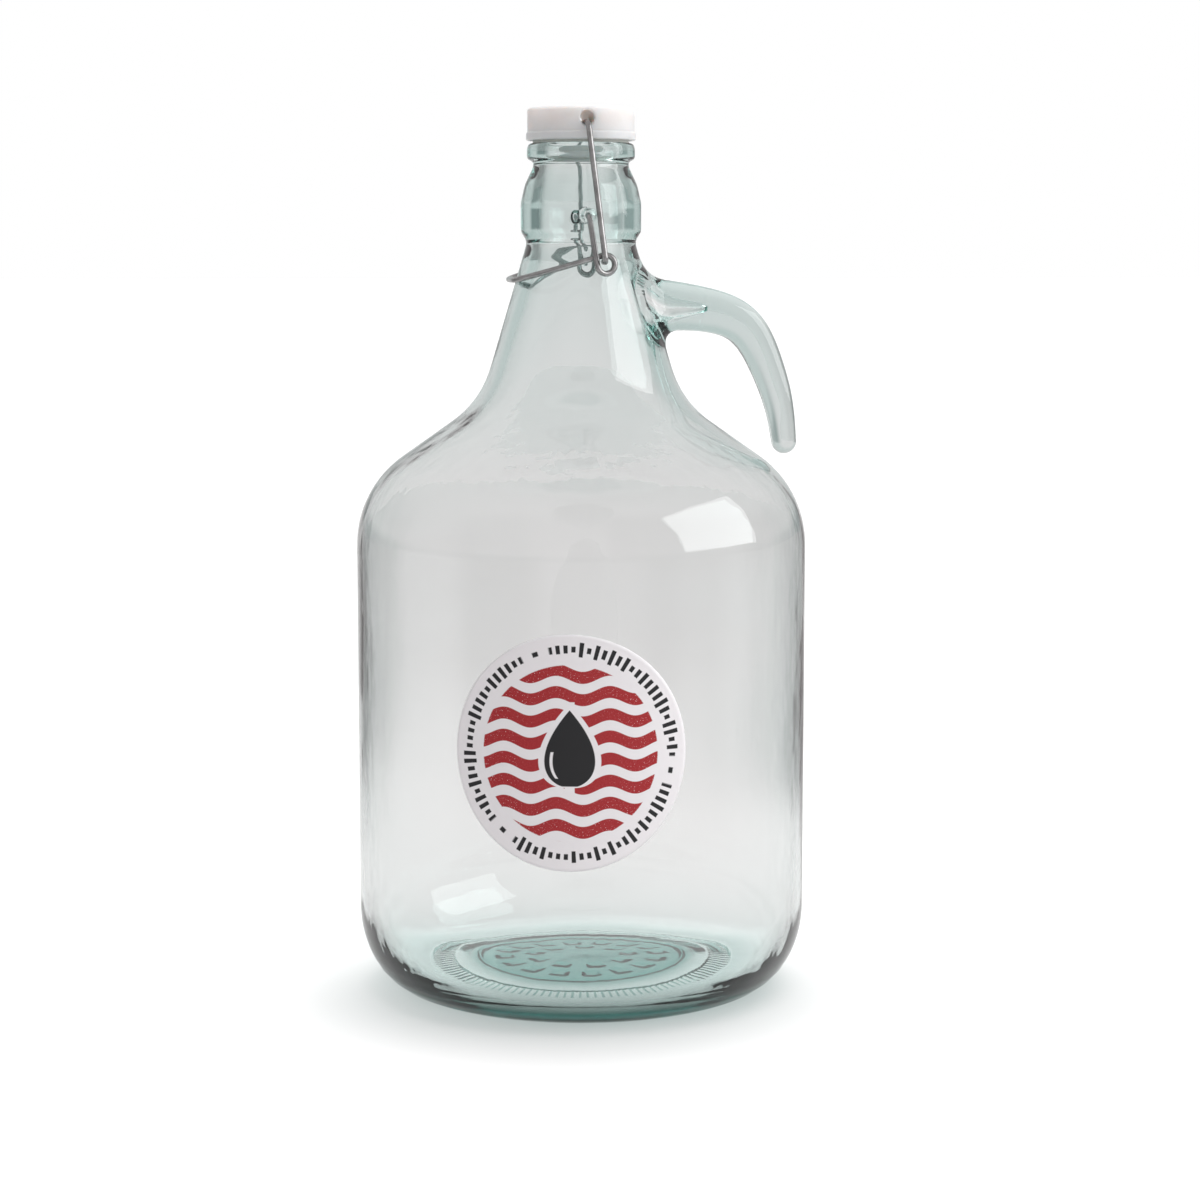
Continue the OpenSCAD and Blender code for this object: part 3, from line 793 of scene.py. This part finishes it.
def build_jug(material):
    dense = wall_profile()
    rows = resample(dense, row_spacing(dense))
    r, z = rows[1:-1].T
    count, lip = len(z), int(np.argmax(z))
    is_out = np.arange(count) <= lip
    theta = np.arange(COLUMNS) * TAU / COLUMNS
    ids = np.arange(count * COLUMNS).reshape(count, COLUMNS)
    verts = np.stack([np.outer(r, np.cos(theta)), np.outer(r, np.sin(theta)),
                      np.repeat(z[:, None], COLUMNS, axis=1)], axis=2).reshape(-1, 3)
    outside = np.repeat(is_out, COLUMNS)
    verts = surface_detail(verts, outside, np.tile(np.arange(COLUMNS), count))
    verts[~outside] = push_spike(verts[~outside], r[~is_out], z[~is_out])

    def row_at(height):
        return int(np.argmin(np.where(is_out, np.abs(z - height), 1e9)))

    high, low = row_at(HOLE_TOP), row_at(HOLE_BOTTOM)
    faces = wall_faces(ids, low, high, (len(verts), len(verts) + 1))
    verts = np.vstack([verts, [[0, 0, rows[0][1]], [0, 0, rows[-1][1]]]])

    shape = HandleShape(rows[1:lip + 2])
    loop = np.array([ids[i, c % COLUMNS] for i, c in hole_loop(low, high, HOLE_HALF)])
    rings, tip = handle_rings(shape, verts[loop])
    new_ids = len(verts) + np.arange(len(rings) * len(loop)).reshape(-1, len(loop))
    verts = np.vstack([verts] + rings + [[tip]])
    grid = np.vstack([loop, new_ids])
    faces += handle_faces(grid, len(verts) - 1)
    verts = settle_root(verts, faces, ids, low, high, grid, shape)

    # drop the vertices in the hole
    used = np.zeros(len(verts), dtype=bool)
    for f in faces:
        used[list(f)] = True
    new_id = np.cumsum(used) - 1
    faces = [tuple(int(new_id[k]) for k in f) for f in faces]
    return make_object("glass_jug_blown", verts[used], faces, [material], "jug")


# ---------------------------------------------------------------- wires

# the lines of the wires' middles; a bend is its radius
WIRE_R, WIRE_SIDES, WIRE_STEP = 1.15, 28, 0.45
LEVER_PIN, LEVER_ELBOW, PIN_BEND = (0, 21.95, 309.9), (0, 26.2, 309.9), 2.3
EYE_X, EYE_Z, EYE_R = 6.4, 290.9, 3.6
EYE_FROM, EYE_TO = math.radians(188.3), math.radians(465.8)
LEG_Y, ARM_Y = 28.93, 26.4
THUMB_X, THUMB_Z, THUMB_BEND = -27.9, 284.8, 18
HOOK_X, HOOK_Z, HOOK_IN, HOOK_OUT = 5.8, 291.9, 25.25, 31.58
HOOK_BEND, BAIL_TOP_Y, BAIL_TOP_Z, BAIL_TOP_BEND = 1.6, 23.53, 345.9, 3


def lever_path():
    """From one pin up its leg, round the eye, round the thumb loop, and back to the other pin."""
    turn = np.linspace(EYE_FROM, EYE_TO, 60)
    ease = np.clip((turn - EYE_FROM) / (TAU - EYE_FROM), 0, 1)
    ease = ease * ease * (3 - 2 * ease)
    eye = np.stack([EYE_X + EYE_R * np.cos(turn), LEG_Y - (LEG_Y - ARM_Y) * ease,
                    EYE_Z + EYE_R * np.sin(turn)], axis=1)
    leg = rounded([(*LEVER_PIN, 0), (*LEVER_ELBOW, PIN_BEND), (*eye[0], 0)], 6)
    thumb = rounded([(*eye[-1], 0), (THUMB_X, ARM_Y, THUMB_Z, THUMB_BEND),
                     (THUMB_X, -ARM_Y, THUMB_Z, THUMB_BEND), (eye[-1][0], -ARM_Y, eye[-1][2], 0)], 3)
    one = np.vstack([leg[:-1], eye])
    other = (one * (1, -1, 1))[::-1]
    return np.vstack([one, thumb[1:-1], other])


def bail_path():
    """From one hook up to the stopper, through it, and down to the other hook."""
    one = [(HOOK_X, HOOK_IN, HOOK_Z, 0), (HOOK_X, HOOK_OUT, HOOK_Z, HOOK_BEND),
           (0, BAIL_TOP_Y, BAIL_TOP_Z, BAIL_TOP_BEND)]
    other = [(x, -y, z, bend) for x, y, z, bend in one]
    return rounded(other + one[::-1], 6)


def build_wire(name, path, material, body):
    verts, faces, uv = tube(resample(path, WIRE_STEP), WIRE_R, WIRE_SIDES)
    return make_object(name, verts, faces, [material], body, uv)


# ---------------------------------------------------------------- label

# the label's radius, the height of its middle, and how far round from the front it is stuck
LABEL_R, LABEL_Z, LABEL_TURN = 45.0, 109.4, math.radians(9.8)
# the wall it is wrapped on, and the gap that keeps it off the wall and inside its CAD box
LABEL_WALL, LABEL_GAP, LABEL_INSIDE = 89.96, 0.02, 0.01
LABEL_RINGS, LABEL_SIDES = 40, 144


def build_label(front, back):
    """A wrapped disc with a printed front and a plain back. Its UVs are flat millimetres."""
    low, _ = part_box("round_label")
    film = abs(low[1]) / MM - LABEL_INSIDE
    angle = np.arange(LABEL_SIDES) * TAU / LABEL_SIDES
    circle = np.stack([np.cos(angle), np.sin(angle)], axis=1)
    ring_at = np.linspace(0, LABEL_R, LABEL_RINGS + 1)[1:]
    flat = np.vstack([[[0, 0]]] + [r * circle for r in ring_at])

    def wrapped(radius):
        turn = -math.pi / 2 - LABEL_TURN + flat[:, 0] / LABEL_WALL
        return np.stack([radius * np.cos(turn), radius * np.sin(turn), LABEL_Z + flat[:, 1]], axis=1)

    def disc_faces(base):
        faces = []
        for j in range(LABEL_SIDES):
            k = (j + 1) % LABEL_SIDES
            faces.append((base, base + 1 + j, base + 1 + k))
            for i in range(LABEL_RINGS - 1):
                a, b = base + 1 + i * LABEL_SIDES, base + 1 + (i + 1) * LABEL_SIDES
                faces.append((a + j, b + j, b + k, a + k))
        return faces

    n = len(flat)
    rim = n - LABEL_SIDES
    printed = disc_faces(0)
    plain = [f[::-1] for f in disc_faces(n)]
    edge = [(rim + j, n + rim + j, n + rim + (j + 1) % LABEL_SIDES, rim + (j + 1) % LABEL_SIDES)
            for j in range(LABEL_SIDES)]
    slots = [0] * len(printed) + [1] * len(plain) + [0] * len(edge)
    return make_object("round_label_printed",
                       np.vstack([wrapped(film), wrapped(LABEL_WALL + LABEL_GAP)]),
                       printed + plain + edge, [front, back], "jug", np.vstack([flat, flat]), slots)


# ---------------------------------------------------------------- the scene

FLOOR_HALF = 30.0


def keep_node(node, material):
    """Gives a carried-over CAD node its own material."""
    ob = frame["nodes"][node]
    ob.data.materials.clear()
    ob.data.materials.append(material)
    return ob


def make_floor():
    mesh = bpy.data.meshes.new("floor")
    s = FLOOR_HALF
    mesh.from_pydata([(-s, -s, 0), (s, -s, 0), (s, s, 0), (-s, s, 0)], [], [(0, 1, 2, 3)])
    mesh.materials.append(floor_material())
    link(bpy.data.objects.new("floor", mesh))


make_camera()
make_light()
make_room()
make_floor()

steel = steel_material()
jug = build_jug(glass_material())
label = build_label(label_material(), backing_material())
lever = build_wire("lever_wire_drawn", lever_path(), steel, "lever")
bail = build_wire("bail_wire_drawn", bail_path(), steel, "bail")
for made, node, finish in ((jug, "glass_jug", "clear_glass"), (label, "round_label", "label_film"),
                           (lever, "lever_wire", "steel_wire"), (bail, "bail_wire", "steel_wire")):
    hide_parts(node)
keep_node("stopper_cap", plastic_material())
keep_node("sealing_gasket", rubber_material())

bpy.context.scene.view_settings.view_transform = "Standard"
